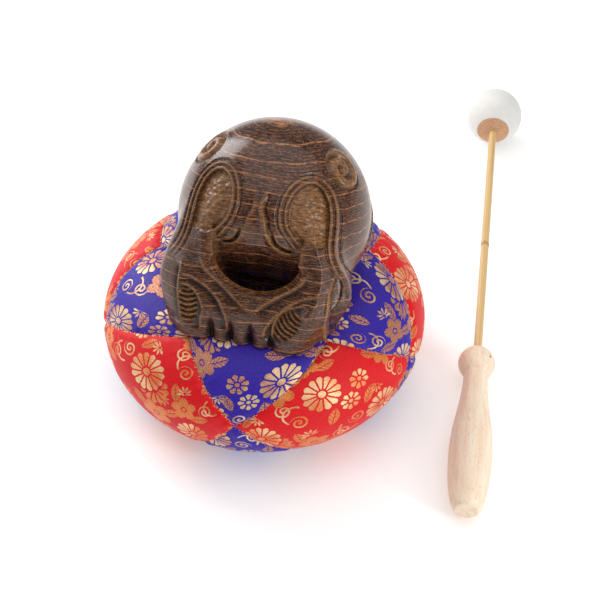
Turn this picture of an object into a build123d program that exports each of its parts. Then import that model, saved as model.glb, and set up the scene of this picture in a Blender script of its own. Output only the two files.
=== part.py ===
"""Mokugyo set: a hollow carved wooden fish on its round patchwork cushion, with its rubber-headed beater.

Millimetres, +Z up. The origin is the middle of the cushion's base, on the surface that the set stands on.
The fish's handle looks towards -Y, and the beater lies beside the cushion on the +X side.
"""

import math
import os

from build123d import *

# Cushion: a stuffed round with a flattened crown and base
CUSHION_RADIUS = 94.0
CUSHION_HEIGHT = 75.0
EQUATOR_HEIGHT = 40.0
CROWN_RADIUS = 50.0
SKIN_THICKNESS = 1.2
SKIN_CLEARANCE = 0.05

# Cushion seams: kites above and below, rhombi round the side
PATCH_COUNT = 5
SEAM_GAP = 0.3
SEAM_CHANNEL_WIDTH = 1.8
SEAM_CHANNEL_DEPTH = 0.7
SEAM_POINT_RADIUS = 64.0
SEAM_POINT_ANGLE = -114.0
SEAM_APEX_ANGLE = -84.8
SEAM_APEX_RISE = 7.0

# Fish: dome of the bell, standing on the cushion's crown
FISH_X = 6.5
FISH_Y = 4.0
DOME_RADIUS = 53.0
DOME_CENTRE_HEIGHT = 40.0

# Fish: the carved arms and the bar between them, in widths from the middle, reaches and heights.
# The foot of the left arm is carved broader than the right one.
BAR_REACH = 63.8
BAR_LEFT_WIDTH = 35.0
BAR_RIGHT_WIDTH = 29.5
LEFT_FOOT_WIDTH = 49.5
LEFT_FOOT_REACH = 51.5
RIGHT_FOOT_WIDTH = 45.5
RIGHT_FOOT_REACH = 40.0
FOOT_FLANK_WIDTH = 46.0
FOOT_FLANK_REACH = 28.0
CHEEK_HEIGHT = 23.0
CHEEK_BAR_WIDTH = 34.5
CHEEK_BAR_REACH = 60.3
LEFT_CHEEK_WIDTH = 55.0
RIGHT_CHEEK_WIDTH = 53.0
CHEEK_REACH = 42.5
CHEEK_FLANK_WIDTH = 51.0
CHEEK_FLANK_REACH = 30.0
UPPER_ARM_HEIGHT = 42.0
UPPER_ARM_BAR_WIDTH = 32.5
UPPER_ARM_BAR_REACH = 50.7
UPPER_ARM_WIDTH = 47.6
UPPER_ARM_REACH = 37.0
UPPER_ARM_FLANK_WIDTH = 44.5
UPPER_ARM_FLANK_REACH = 24.0
SHOULDER_HEIGHT = 66.0
SHOULDER_INSET = 1.0
SHOULDER_TURNS = (30.0, 48.0, 62.0)
ARM_ROOT_WIDTH = 30.0
ARM_ROOT_DEPTH = 6.0
ARM_EDGE_RADIUS = 5.0

# Fish: eyes sunk in the dome, on an axis that leans forward
EYE_TILT = 44.0
EYE_OFFSET = 25.5
EYE_RISE = 2.5
EYE_WIDTH = 20.0
EYE_HEIGHT = 29.0
EYE_DEPTH = 1.5
EYE_MIDDLE = 1.5

# Fish: gaps between the teeth along the foot of the bar, across from the middle
TOOTH_GAPS = (-19.7, -9.0, 2.0, 13.0)
TOOTH_GAP_RADIUS = 2.2
TOOTH_GAP_HEIGHT = 9.0

# Fish: finger hole behind the bar, a slanted channel with a flat back and a rounded front
HOLE_MIDDLE = 0.6
HOLE_WIDTH = 47.6
HOLE_DEPTH = 15.0
HOLE_CORNER_RADIUS = 4.0
HOLE_FLARE = 16.0
HOLE_FLARE_START = 8.0
HOLE_TILT = 22.6
HOLE_CENTRE_REACH = 42.5
HOLE_CENTRE_HEIGHT = 30.0

# Fish: resonance cavity
CAVITY_SIDE_WALL = 12.0
CAVITY_BACK_WALL = 11.0
CAVITY_FRONT_REACH = 30.0
CAVITY_FLOOR = 8.0
CAVITY_ROOF = 15.0

# Fish: sound slit, a slanted saw cut that ends in a round hole on each flank
SLIT_HEIGHT = 10.0
SLIT_TILT = 15.0
SLIT_FRONT_REACH = 31.0
SLIT_FRONT_HEIGHT = 15.5
SLIT_END_BACK = 10.0
SLIT_THROAT_WIDTH = 32.0
SLIT_END_RADIUS = 6.0
LIP_WIDTH = 6.0
LIP_RISE = 1.2

# Beater: place of the butt and heading of the axis over the ground
BUTT_X = 137.0
BUTT_Y = -91.5
BEATER_HEADING = 95.5

# Beater handle: stations along the axis from the butt, and radii there
BUTT_FACE_RADIUS = 6.0
BULGE_AT = 37.5
BULGE_RADIUS = 12.3
WAIST_AT = 82.0
WAIST_RADIUS = 7.75
KNOB_AT = 104.5
KNOB_RADIUS = 11.0
KNOB_NECK_ANGLE = 40.0
KNOB_TOP_RADIUS = 4.0

# Beater shaft: a bamboo rod with one node
SHAFT_RADIUS = 2.52
SHAFT_IN_HANDLE = 32.0
SHAFT_IN_CORE = 20.0
NODE_AT = 205.6
NODE_LENGTH = 2.4
NODE_RISE = 0.3

# Beater head: rubber ball on a turned wooden core
HEAD_AT = 338.8
HEAD_RADIUS = 19.6
CORE_RADIUS = 11.15
CORE_DEPTH = 26.0
CORE_DOME = 3.0

# Beater pin: a brad through the knob's wall into the shaft
PIN_RADIUS = 0.8
PIN_SUNK = 0.8
PIN_BITE = 1.6
PIN_ROLL = 48.0

JOINT_CLEARANCE = 0.05


def finish_piece(piece, node):
    """Name a finished piece and write it as a node of that name."""
    piece.label = node
    export_step(piece, f"parts/{node}.step")


def polar_point(radius, angle, height):
    """Point at a radius, a heading in degrees and a height about the cushion's axis."""
    turn = math.radians(angle)
    return Vector(radius * math.cos(turn), radius * math.sin(turn), height)


def oval_height(radius, half_height):
    """Height above the equator of the cushion's rounded side, at a radius past the crown's edge."""
    share = (radius - CROWN_RADIUS) / (CUSHION_RADIUS - CROWN_RADIUS)
    return half_height * math.sqrt(1 - share**2)


def cushion_solid(inset):
    """The whole cushion as one turned solid, drawn in by a depth all round."""
    round_depth = CUSHION_RADIUS - CROWN_RADIUS - inset
    upper_half = CUSHION_HEIGHT - EQUATOR_HEIGHT - inset
    lower_half = EQUATOR_HEIGHT - inset
    side_centre = (CROWN_RADIUS, EQUATOR_HEIGHT)
    with BuildPart() as cushion:
        with BuildSketch(Plane.XZ):
            with BuildLine():
                lower_side = EllipticalCenterArc(
                    side_centre, round_depth, lower_half, start_angle=270, arc_size=90
                )
                upper_side = EllipticalCenterArc(
                    side_centre, round_depth, upper_half, start_angle=0, arc_size=90
                )
                Polyline(
                    upper_side @ 1,
                    (0, CUSHION_HEIGHT - inset),
                    (0, inset),
                    lower_side @ 0,
                )
            make_face()
        revolve(axis=Axis.Z)
    return cushion.part


def seam_planes(corners, gap):
    """Planes through the cushion's heart and each edge of a patch, half a gap inside the patch."""
    heart = Vector(0, 0, EQUATOR_HEIGHT)
    middle = sum(corners, Vector(0, 0, 0)) * (1 / len(corners))
    planes = []
    for first, second in zip(corners, corners[1:] + corners[:1]):
        normal = (first - heart).cross(second - heart).normalized()
        if normal.dot(middle - heart) < 0:
            normal = normal * -1
        planes.append(Plane(origin=heart + normal * (gap / 2), z_dir=normal))
    return planes


def skin_layer(outer, inner, corners, gap):
    """Layer of the cushion's skin between two solids, cut along the seams of one patch."""
    with BuildPart() as layer:
        add(outer)
        add(inner, mode=Mode.SUBTRACT)
        for plane in seam_planes(corners, gap):
            split(bisect_by=plane, keep=Keep.TOP)
    return layer.part


def cushion_patch(node, corners, channel):
    """One brocade patch: seams close together underneath, and drawn apart into a channel outside."""
    with BuildPart() as patch:
        add(skin_layer(cushion_channel, cushion_inside, corners, SEAM_GAP))
        add(skin_layer(cushion_whole, cushion_channel, corners, channel))
    finish_piece(patch.part, node)


def arm_section(right, left):
    """Rounded plan of the arms and bar from the points of each side as width and reach, front first."""
    outline = [(width, -reach) for width, reach in right]
    outline += [(-width, -reach) for width, reach in reversed(left)]
    with BuildSketch() as section:
        with BuildLine():
            Polyline(*outline, close=True)
        make_face()
        fillet(section.vertices(), radius=ARM_EDGE_RADIUS)
    return section.sketch


os.makedirs("parts", exist_ok=True)

# Cushion: wadding core and its patches
cushion_whole = cushion_solid(0)
cushion_channel = cushion_solid(SEAM_CHANNEL_DEPTH)
cushion_inside = cushion_solid(SKIN_THICKNESS)
finish_piece(cushion_solid(SKIN_THICKNESS + SKIN_CLEARANCE), "cushion_core")

crown_middle = Vector(0, 0, CUSHION_HEIGHT)
base_middle = Vector(0, 0, 0)
upper_seam_height = EQUATOR_HEIGHT + oval_height(SEAM_POINT_RADIUS, CUSHION_HEIGHT - EQUATOR_HEIGHT)
lower_seam_height = EQUATOR_HEIGHT - oval_height(SEAM_POINT_RADIUS, EQUATOR_HEIGHT)
patch_turn = 360 / PATCH_COUNT


def upper_point(index):
    """Seam point where two upper kites and a side rhombus meet."""
    return polar_point(SEAM_POINT_RADIUS, SEAM_POINT_ANGLE + patch_turn * index, upper_seam_height)


def lower_point(index):
    """Seam point where two lower kites and a side rhombus meet."""
    return polar_point(SEAM_POINT_RADIUS, SEAM_POINT_ANGLE + patch_turn * index, lower_seam_height)


def apex_point(index):
    """Seam point a little above the equator, where kites touch tip to tip between two rhombi."""
    return polar_point(CUSHION_RADIUS, SEAM_APEX_ANGLE + patch_turn * index, EQUATOR_HEIGHT + SEAM_APEX_RISE)


# The base is pressed flat, so its seams stay closed
for k in range(PATCH_COUNT):
    top_corners = [crown_middle, upper_point(k), apex_point(k), upper_point(k + 1)]
    side_corners = [upper_point(k), apex_point(k), lower_point(k), apex_point(k - 1)]
    bottom_corners = [base_middle, lower_point(k), apex_point(k), lower_point(k + 1)]
    cushion_patch(f"top_patch_{k + 1}", top_corners, SEAM_CHANNEL_WIDTH)
    cushion_patch(f"side_patch_{k + 1}", side_corners, SEAM_CHANNEL_WIDTH)
    cushion_patch(f"bottom_patch_{k + 1}", bottom_corners, SEAM_GAP)

# Fish: one carved block with a dome, two arms, a bar, a finger hole, a cavity and a slit
fish_plane = Plane(origin=(FISH_X, FISH_Y, CUSHION_HEIGHT))
hole_plane = Plane(
    fish_plane.location * Location((0, -HOLE_CENTRE_REACH, HOLE_CENTRE_HEIGHT), (HOLE_TILT, 0, 0))
)
slit_plane = Plane(
    fish_plane.location * Location((0, -SLIT_FRONT_REACH, SLIT_FRONT_HEIGHT), (SLIT_TILT, 0, 0))
)
slit_end_run = (SLIT_FRONT_REACH + SLIT_END_BACK) / math.cos(math.radians(SLIT_TILT))
slit_end_height = SLIT_FRONT_HEIGHT + (SLIT_FRONT_REACH + SLIT_END_BACK) * math.tan(math.radians(SLIT_TILT))
past_block = 2 * (DOME_RADIUS + BAR_REACH)
slit_end_plane = Plane(fish_plane.location * Location((0, SLIT_END_BACK, slit_end_height), (0, 90, 0)))
eye_plane = Plane(fish_plane.location * Location((EYE_MIDDLE, 0, DOME_CENTRE_HEIGHT), (EYE_TILT, 0, 0)))

# The arms leave the dome just under its skin at the shoulder
shoulder_radius = math.sqrt(DOME_RADIUS**2 - (SHOULDER_HEIGHT - DOME_CENTRE_HEIGHT) ** 2) - SHOULDER_INSET
shoulder_points = [
    (shoulder_radius * math.sin(math.radians(turn)), shoulder_radius * math.cos(math.radians(turn)))
    for turn in SHOULDER_TURNS
]
arm_root = (ARM_ROOT_WIDTH, -ARM_ROOT_DEPTH)
foot_flank = (FOOT_FLANK_WIDTH, FOOT_FLANK_REACH)
cheek_bar = (CHEEK_BAR_WIDTH, CHEEK_BAR_REACH)
cheek_flank = (CHEEK_FLANK_WIDTH, CHEEK_FLANK_REACH)
foot_section = arm_section(
    [(BAR_RIGHT_WIDTH, BAR_REACH), (RIGHT_FOOT_WIDTH, RIGHT_FOOT_REACH), foot_flank, arm_root],
    [(BAR_LEFT_WIDTH, BAR_REACH), (LEFT_FOOT_WIDTH, LEFT_FOOT_REACH), foot_flank, arm_root],
)
cheek_section = arm_section(
    [cheek_bar, (RIGHT_CHEEK_WIDTH, CHEEK_REACH), cheek_flank, arm_root],
    [cheek_bar, (LEFT_CHEEK_WIDTH, CHEEK_REACH), cheek_flank, arm_root],
)
upper_arm = [
    (UPPER_ARM_BAR_WIDTH, UPPER_ARM_BAR_REACH),
    (UPPER_ARM_WIDTH, UPPER_ARM_REACH),
    (UPPER_ARM_FLANK_WIDTH, UPPER_ARM_FLANK_REACH),
    arm_root,
]
upper_arm_section = arm_section(upper_arm, upper_arm)
shoulder_section = arm_section(shoulder_points + [arm_root], shoulder_points + [arm_root])

with BuildPart() as slit_lips:
    with BuildSketch(slit_plane):
        with Locations((0, slit_end_run + past_block / 2)):
            Rectangle(past_block, past_block)
    extrude(amount=SLIT_HEIGHT / 2 + LIP_WIDTH, both=True)
    with BuildSketch(slit_end_plane):
        Circle(SLIT_HEIGHT / 2 + LIP_WIDTH)
    extrude(amount=past_block / 2, both=True)
    with Locations(fish_plane.offset(DOME_CENTRE_HEIGHT)):
        Sphere(DOME_RADIUS + LIP_RISE, mode=Mode.INTERSECT)

with BuildPart() as eye_sinks:
    with BuildSketch(eye_plane):
        with Locations((EYE_OFFSET, EYE_RISE), (-EYE_OFFSET, EYE_RISE)):
            Ellipse(EYE_WIDTH / 2, EYE_HEIGHT / 2)
    extrude(amount=past_block)
    with Locations(fish_plane.offset(DOME_CENTRE_HEIGHT)):
        Sphere(DOME_RADIUS - EYE_DEPTH, mode=Mode.SUBTRACT)

with BuildPart() as fish_body:
    with Locations(fish_plane.offset(DOME_CENTRE_HEIGHT)):
        Sphere(DOME_RADIUS)
    add(slit_lips.part)
    with BuildSketch(fish_plane):
        add(foot_section)
    with BuildSketch(fish_plane.offset(CHEEK_HEIGHT)):
        add(cheek_section)
    with BuildSketch(fish_plane.offset(UPPER_ARM_HEIGHT)):
        add(upper_arm_section)
    with BuildSketch(fish_plane.offset(SHOULDER_HEIGHT)):
        add(shoulder_section)
    loft(ruled=True)
    split(bisect_by=fish_plane, keep=Keep.TOP)
    add(eye_sinks.part, mode=Mode.SUBTRACT)
    with BuildSketch(fish_plane):
        with Locations([(gap, -BAR_REACH) for gap in TOOTH_GAPS]):
            Circle(TOOTH_GAP_RADIUS)
    extrude(amount=TOOTH_GAP_HEIGHT, mode=Mode.SUBTRACT)

    # Cavity: an oval chamber turned out through the slit
    cavity_back = DOME_RADIUS - CAVITY_BACK_WALL
    cavity_roof = DOME_CENTRE_HEIGHT + DOME_RADIUS - CAVITY_ROOF
    cavity_plane = Plane(
        fish_plane.location
        * Location((0, (cavity_back - CAVITY_FRONT_REACH) / 2, (cavity_roof + CAVITY_FLOOR) / 2))
    )
    cavity_ball = scale(
        Sphere(1, mode=Mode.PRIVATE),
        by=(
            DOME_RADIUS - CAVITY_SIDE_WALL,
            (cavity_back + CAVITY_FRONT_REACH) / 2,
            (cavity_roof - CAVITY_FLOOR) / 2,
        ),
        mode=Mode.PRIVATE,
    )
    add(cavity_plane.location * cavity_ball, mode=Mode.SUBTRACT)

    # Finger hole
    with BuildSketch(hole_plane) as hole_outline:
        with BuildLine():
            front_round = EllipticalCenterArc(
                (HOLE_MIDDLE, 0), HOLE_WIDTH / 2, HOLE_DEPTH / 2, start_angle=180, arc_size=180
            )
            Polyline(
                front_round @ 1,
                (HOLE_MIDDLE + HOLE_WIDTH / 2, HOLE_DEPTH / 2),
                (HOLE_MIDDLE - HOLE_WIDTH / 2, HOLE_DEPTH / 2),
                front_round @ 0,
            )
        make_face()
        back_corners = hole_outline.vertices().filter_by_position(Axis.Y, HOLE_DEPTH / 4, HOLE_DEPTH)
        fillet(back_corners, radius=HOLE_CORNER_RADIUS)
    extrude(amount=past_block, both=True, mode=Mode.SUBTRACT)

    # The brow and the bar fall away into the hole, so its mouth flares
    with BuildSketch(hole_plane.offset(HOLE_FLARE_START)):
        add(hole_outline.sketch_local)
    extrude(amount=DOME_RADIUS, taper=-HOLE_FLARE, mode=Mode.SUBTRACT)

    # Slit: full width round the back, and a narrower throat into the finger hole
    with BuildSketch(slit_plane):
        with Locations((0, slit_end_run + past_block / 2)):
            Rectangle(past_block, past_block)
        with Locations((0, slit_end_run / 2)):
            Rectangle(SLIT_THROAT_WIDTH, slit_end_run)
    extrude(amount=SLIT_HEIGHT / 2, both=True, mode=Mode.SUBTRACT)
    with BuildSketch(slit_end_plane):
        Circle(SLIT_END_RADIUS)
    extrude(amount=past_block / 2, both=True, mode=Mode.SUBTRACT)
finish_piece(fish_body.part, "fish_body")

# Beater: its axis rises from the handle's bulge to the larger head, both lying on the ground
heading = math.radians(BEATER_HEADING)
slope = math.asin((HEAD_RADIUS - BULGE_RADIUS) / (HEAD_AT - BULGE_AT))
# The tilted grip touches the ground a little before its bulge
bulge_swell = BULGE_RADIUS - BUTT_FACE_RADIUS
bulge_height = BUTT_FACE_RADIUS * math.cos(slope) + math.hypot(
    BULGE_AT * math.sin(slope), bulge_swell * math.cos(slope)
)
butt_height = bulge_height - BULGE_AT * math.sin(slope)
beater_direction = Vector(
    math.cos(slope) * math.cos(heading), math.cos(slope) * math.sin(heading), math.sin(slope)
)
beater_side = Vector(math.sin(heading), -math.cos(heading), 0)
beater_up = beater_side.cross(beater_direction)
butt = Vector(BUTT_X, BUTT_Y, butt_height)
beater_axis = Axis(butt, beater_direction)
# Profiles are drawn with the axis station as x and the radius as y
beater_plane = Plane(origin=butt, x_dir=beater_direction, z_dir=beater_up)

handle_end = KNOB_AT + math.sqrt(KNOB_RADIUS**2 - KNOB_TOP_RADIUS**2)
neck_angle = math.radians(KNOB_NECK_ANGLE)
knob_foot = (KNOB_AT - KNOB_RADIUS * math.cos(neck_angle), KNOB_RADIUS * math.sin(neck_angle))
shaft_start = handle_end - SHAFT_IN_HANDLE
core_face = HEAD_AT - math.sqrt(HEAD_RADIUS**2 - CORE_RADIUS**2)
core_end = core_face + CORE_DEPTH
core_front = core_face - CORE_DOME
dome_radius = (CORE_RADIUS**2 + CORE_DOME**2) / (2 * CORE_DOME)
dome_angle = math.degrees(math.asin(CORE_RADIUS / dome_radius))
shaft_end = core_face + SHAFT_IN_CORE
bore_radius = SHAFT_RADIUS + JOINT_CLEARANCE

pin_roll = math.radians(PIN_ROLL)
pin_spoke = Plane(
    origin=butt + beater_direction * KNOB_AT,
    x_dir=beater_direction,
    z_dir=beater_side * math.cos(pin_roll) + beater_up * math.sin(pin_roll),
)
pin_tip = SHAFT_RADIUS - PIN_BITE
pin_length = KNOB_RADIUS - PIN_SUNK - pin_tip

with BuildPart() as beater_handle:
    with BuildSketch(beater_plane):
        with BuildLine():
            end_round = EllipticalCenterArc(
                (BULGE_AT, BUTT_FACE_RADIUS), BULGE_AT, bulge_swell, start_angle=90, arc_size=90
            )
            Spline(
                (BULGE_AT, BULGE_RADIUS),
                (WAIST_AT, WAIST_RADIUS),
                knob_foot,
                tangents=[(1, 0), (1, 0)],
            )
            knob = ThreePointArc(knob_foot, (KNOB_AT, KNOB_RADIUS), (handle_end, KNOB_TOP_RADIUS))
            Polyline(knob @ 1, (handle_end, 0), (0, 0), end_round @ 1)
        make_face()
    revolve(axis=beater_axis)
    with BuildSketch(beater_plane):
        with Locations((shaft_start, 0)):
            Rectangle(SHAFT_IN_HANDLE, bore_radius, align=(Align.MIN, Align.MIN))
    revolve(axis=beater_axis, mode=Mode.SUBTRACT)
    with BuildSketch(pin_spoke):
        Circle(PIN_RADIUS + JOINT_CLEARANCE)
    extrude(amount=KNOB_RADIUS, mode=Mode.SUBTRACT)
finish_piece(beater_handle.part, "beater_handle")

with BuildPart() as beater_shaft:
    with BuildSketch(beater_plane):
        with Locations((shaft_start + JOINT_CLEARANCE, 0)):
            Rectangle(
                shaft_end - shaft_start - 2 * JOINT_CLEARANCE,
                SHAFT_RADIUS,
                align=(Align.MIN, Align.MIN),
            )
        with BuildLine():
            node_ring = ThreePointArc(
                (NODE_AT - NODE_LENGTH / 2, SHAFT_RADIUS),
                (NODE_AT, SHAFT_RADIUS + NODE_RISE),
                (NODE_AT + NODE_LENGTH / 2, SHAFT_RADIUS),
            )
            Line(node_ring @ 1, node_ring @ 0)
        make_face()
    revolve(axis=beater_axis)
    with BuildSketch(pin_spoke.offset(pin_tip)):
        Circle(PIN_RADIUS + JOINT_CLEARANCE)
    extrude(amount=KNOB_RADIUS, mode=Mode.SUBTRACT)
finish_piece(beater_shaft.part, "beater_shaft")

with BuildPart() as shaft_pin:
    with BuildSketch(pin_spoke.offset(pin_tip)):
        Circle(PIN_RADIUS)
    extrude(amount=pin_length)
finish_piece(shaft_pin.part, "shaft_pin")

with BuildPart() as head_core:
    with BuildSketch(beater_plane):
        with BuildLine():
            front = CenterArc((core_front + dome_radius, 0), dome_radius, 180, -dome_angle)
            Polyline(front @ 1, (core_end, CORE_RADIUS), (core_end, 0), front @ 0)
        make_face()
    revolve(axis=beater_axis)
    with BuildSketch(beater_plane):
        with Locations((core_front, 0)):
            Rectangle(shaft_end - core_front, bore_radius, align=(Align.MIN, Align.MIN))
    revolve(axis=beater_axis, mode=Mode.SUBTRACT)
finish_piece(head_core.part, "head_core")

with BuildPart() as head_ball:
    with Locations(Plane(beater_plane.location * Location((HEAD_AT, 0, 0)))):
        Sphere(HEAD_RADIUS)
    with BuildSketch(beater_plane):
        with Locations((HEAD_AT - HEAD_RADIUS, 0)):
            Rectangle(
                core_end + JOINT_CLEARANCE - HEAD_AT + HEAD_RADIUS,
                CORE_RADIUS + JOINT_CLEARANCE,
                align=(Align.MIN, Align.MIN),
            )
    revolve(axis=beater_axis, mode=Mode.SUBTRACT)
finish_piece(head_ball.part, "head_ball")
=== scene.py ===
import math
from functools import reduce

import bpy
import numpy as np
import openvdb
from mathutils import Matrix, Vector


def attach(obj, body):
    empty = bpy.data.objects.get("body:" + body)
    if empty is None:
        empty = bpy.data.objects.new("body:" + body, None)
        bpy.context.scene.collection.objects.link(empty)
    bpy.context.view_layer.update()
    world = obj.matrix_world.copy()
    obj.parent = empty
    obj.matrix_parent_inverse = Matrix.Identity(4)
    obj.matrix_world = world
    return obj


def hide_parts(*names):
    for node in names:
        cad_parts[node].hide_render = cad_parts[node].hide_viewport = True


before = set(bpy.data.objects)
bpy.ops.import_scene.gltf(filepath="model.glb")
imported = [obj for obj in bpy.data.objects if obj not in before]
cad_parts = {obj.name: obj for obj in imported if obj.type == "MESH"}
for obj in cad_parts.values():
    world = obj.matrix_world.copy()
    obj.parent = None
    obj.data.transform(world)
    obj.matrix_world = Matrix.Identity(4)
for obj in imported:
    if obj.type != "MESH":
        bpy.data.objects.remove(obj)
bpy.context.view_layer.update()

MM = 0.001


# Camera: its place in metres, and the heading and elevation that it looks from
CAMERA_PLACE = (0.1434, -0.4883, 0.576)
CAMERA_HEADING = math.radians(-76.0)
CAMERA_ELEVATION = math.radians(46.0)
CAMERA_LENS = 75.0
CAMERA_SENSOR = 36.0

# Cushion, in millimetres: the same turned form and seam points as the solids
CUSHION_RADIUS = 94.0
CUSHION_HEIGHT = 75.0
EQUATOR_HEIGHT = 40.0
CROWN_RADIUS = 50.0
PATCH_COUNT = 5
SEAM_POINT_RADIUS = 64.0
SEAM_POINT_ANGLE = -114.0
SEAM_APEX_ANGLE = -84.8
SEAM_APEX_RISE = 7.0
CLOTH_THICKNESS = 1.0
PATCH_STEPS = 64

# Cloth, in millimetres: how far it draws in at its seams, swells between them and tucks beside them
SEAM_DRAW = 1.0
SEAM_DRAW_WIDTH = 2.0
CLOTH_SWELL = 0.5
CLOTH_SWELL_RUN = 9.0
TUCK_RISE = 0.28
TUCK_START = 1.5
TUCK_RUN = 7.0
BROAD_TUCKS = 9
NARROW_TUCKS = 15.5
FLOOR_CLEARANCE = 0.02
FISH_CLEARANCE = 0.1
PATTERN_SHIFT = np.array([37.0, 23.0])
SIDE_PATTERN_SHIFT = np.array([19.0, 0.0])
WADDING_INSET = 3.4
WADDING_LUMP = 0.3
WADDING_RINGS = 40
WADDING_TURNS = 96

# Fish, in millimetres from the middle of its base
FISH_PLACE = np.array([6.5, 4.0, 75.0])
DOME_RADIUS = 53.0
DOME_CENTRE_HEIGHT = 40.0
DOME_CENTRE = (0.0, 0.0, DOME_CENTRE_HEIGHT)
DOME_BLEND = 5.0
SLIT_HEIGHT = 10.0
SLIT_TILT = math.radians(15.0)
SLIT_FRONT_REACH = 31.0
SLIT_FRONT_HEIGHT = 15.5
SLIT_END_BACK = 10.0
SLIT_END_RADIUS = 6.0
SLIT_THROAT_WIDTH = 32.0
LIP_WIDTH = 6.0
LIP_RISE = 1.2
LIP_BLEND = 0.8
HOLE_MIDDLE = 2.0
HOLE_HALF_WIDTH = 23.6
HOLE_DEPTH = 15.0
HOLE_CORNER = 9.0
HOLE_BEVEL = 4.5
HOLE_BEVEL_HEIGHTS = (44, 66)
BROW_EDGE = 1.5
BROW_ROLL = 12.0
BROW_ROLL_HEIGHTS = (30, 52)
HOLE_TILT = math.radians(22.6)
HOLE_CENTRE_REACH = 42.5
HOLE_CENTRE_HEIGHT = 30.0
CAVITY_CENTRE = (0.0, 6.0, 43.0)
CAVITY_HALF_SIZE = (41.0, 36.0, 35.0)
BASE_EDGE = 1.2
FISH_LOW = np.array([-58.0, -70.0, -3.0])
FISH_HIGH = np.array([58.0, 59.0, 98.0])
VOXEL = 0.55
FISH_TRIANGLES = 190000

# Arms of the fish: each plane has the way that it faces and a point on it
LOWER_FRONT = ((0, -1, 0.152), (0, -64.5, 0))
UPPER_FRONT = ((0, -1, 0.524), (0, -61, 23))
LEFT_FOOT = ((-0.66, -0.75, 0.05), (-44.0, -57.0, 0))
RIGHT_FOOT = ((0.80, -0.60, -0.25), (33.6, -57.1, 0))
UPPER_CORNER = ((0.64, -0.66, 0.40), (46, -50, 23))
LEFT_FLANK = ((1, 0.30, -0.40), (55.5, -42, 26))
RIGHT_FLANK = ((1, 0.30, -0.35), (53.5, -42, 23))
UPPER_FLANK = ((1, 0.25, 0.30), (54, -42, 25))
CHEEK_FACET_PLANE = ((0.65, -0.63, 0.42), (44.0, -43.4, 33.1))
LEFT_CHEEK_SWELL = 2.0
SHOULDER_CENTRE = (0.0, -12.0, 8.0)
SHOULDER_RADIUS = 70.0
SHOULDER_BLEND = 8.0
ARM_END = 6.0
ARM_BLEND = 4.0
ARM_EDGE = 3.0

# Beater, in millimetres: stations along its axis from the butt. It lies on its grip and its ball.
BUTT = Vector((137.0, -91.5, 11.71))
GRIP_RADIUS = 12.3
GRIP_STATION = 37.5
NODE_STATION = 205.6
BALL_RADIUS = 19.6
BALL_STATION = 338.8
BEATER_HEADING = math.radians(95.5)
BEATER_SLOPE = math.asin((BALL_RADIUS - GRIP_RADIUS) / (BALL_STATION - GRIP_STATION))

# Lights: a name, a place, a target, a width and height in metres, and watts
LIGHTS = (
    ("left_softbox", (-0.85, 0.60, 0.60), (0.0, 0.0, 0.08), (0.60, 0.60), 7.5),
    ("left_card", (-1.30, -0.10, 0.40), (0.0, 0.0, 0.10), (0.9, 0.8), 2.5),
    ("right_softbox", (0.60, -0.285, 0.30), (0.046, -0.038, 0.20), (0.055, 0.56), 1.8),
    ("top_softbox", (0.05, 0.25, 1.50), (0.03, 0.0, 0.0), (2.0, 2.0), 15.0),
)
WHITE = (1.0, 1.0, 1.0, 1.0)
ROOM_STRENGTH = 0.30
FLOOR_GLOW = 0.20
FLOOR_HALF_SIZE = 4.0
FLOOR_LEVEL = -0.0005


def pointing(heading, slope):
    """Direction with a heading from +X and a slope above level, both in radians."""
    level = math.cos(slope)
    return Vector((level * math.cos(heading), level * math.sin(heading), math.sin(slope)))


def turned(across, up, angle):
    """A place seen along axes that are turned by an angle in radians."""
    cosine = math.cos(angle)
    sine = math.sin(angle)
    return across * cosine + up * sine, up * cosine - across * sine


def srgb(*screen):
    """A colour given in 0 to 255 screen values, as linear light with full opacity."""
    shares = [value / 255 for value in screen]
    linear = [part / 12.92 if part <= 0.04045 else ((part + 0.055) / 1.055) ** 2.4 for part in shares]
    return (*linear, 1.0)


def node_method(operation, swapped=False):
    """A method of a field that puts it through one arithmetic node."""

    def method(field, *others):
        values = (*others, field) if swapped else (field, *others)
        return field.graph.math(operation, *values)

    return method


class Field:
    """A number or colour that varies over a surface, with arithmetic."""

    def __init__(self, graph, socket):
        self.graph = graph
        self.socket = socket

    __add__ = node_method("ADD")
    __radd__ = __add__
    __sub__ = node_method("SUBTRACT")
    __rsub__ = node_method("SUBTRACT", swapped=True)
    __mul__ = node_method("MULTIPLY")
    __rmul__ = __mul__
    __truediv__ = node_method("DIVIDE")
    __abs__ = node_method("ABSOLUTE")
    power = node_method("POWER")
    fract = node_method("FRACT")
    least = node_method("MINIMUM")
    most = node_method("MAXIMUM")

    def between(self, low, high):
        """Smooth rise from 0 at low to 1 at high."""
        inputs = {"Value": self, "From Min": low, "From Max": high}
        return self.graph.node("ShaderNodeMapRange", inputs, interpolation_type="SMOOTHSTEP")


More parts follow.
